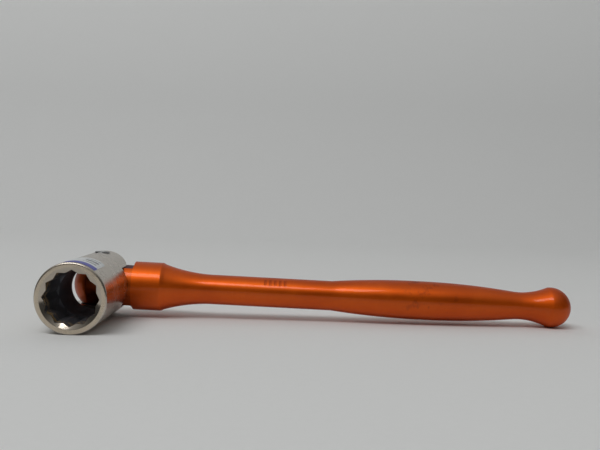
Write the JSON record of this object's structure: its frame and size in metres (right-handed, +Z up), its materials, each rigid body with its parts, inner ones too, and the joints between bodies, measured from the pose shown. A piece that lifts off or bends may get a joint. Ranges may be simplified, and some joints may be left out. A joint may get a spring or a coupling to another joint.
{
  "type": "swivel-head scaffold spanner",
  "caption": "Hand spanner with a deep twelve-point tube socket that swings on a cross pin at the end of a turned, anodised handle with a ball end.",
  "frame": {"origin": "on the bench, under the middle of the tool's bounding box", "axes": "+X along the handle towards the ball, +Z up, the socket's mouth towards -Y"},
  "size_m": [0.2464, 0.0676, 0.0316],
  "materials": {
    "anodised_orange": "satin anodised",
    "bright_plate": "satin plated",
    "dark_steel": "oiled",
    "printed_film": "printed film"
  },
  "bodies": {
    "handle": {"handle": "anodised_orange"},
    "head": {"socket": "bright_plate", "pivot_pin": "dark_steel", "size_label": "printed_film"}
  },
  "joints": [
    {"name": "head_swing", "type": "hinge", "parent": "handle", "child": "head", "pos_m": [-0.10784, 0.02215, 0.0154], "axis": [-0.0251, 0, -0.9997], "range_deg": [0, 180]}
  ]
}
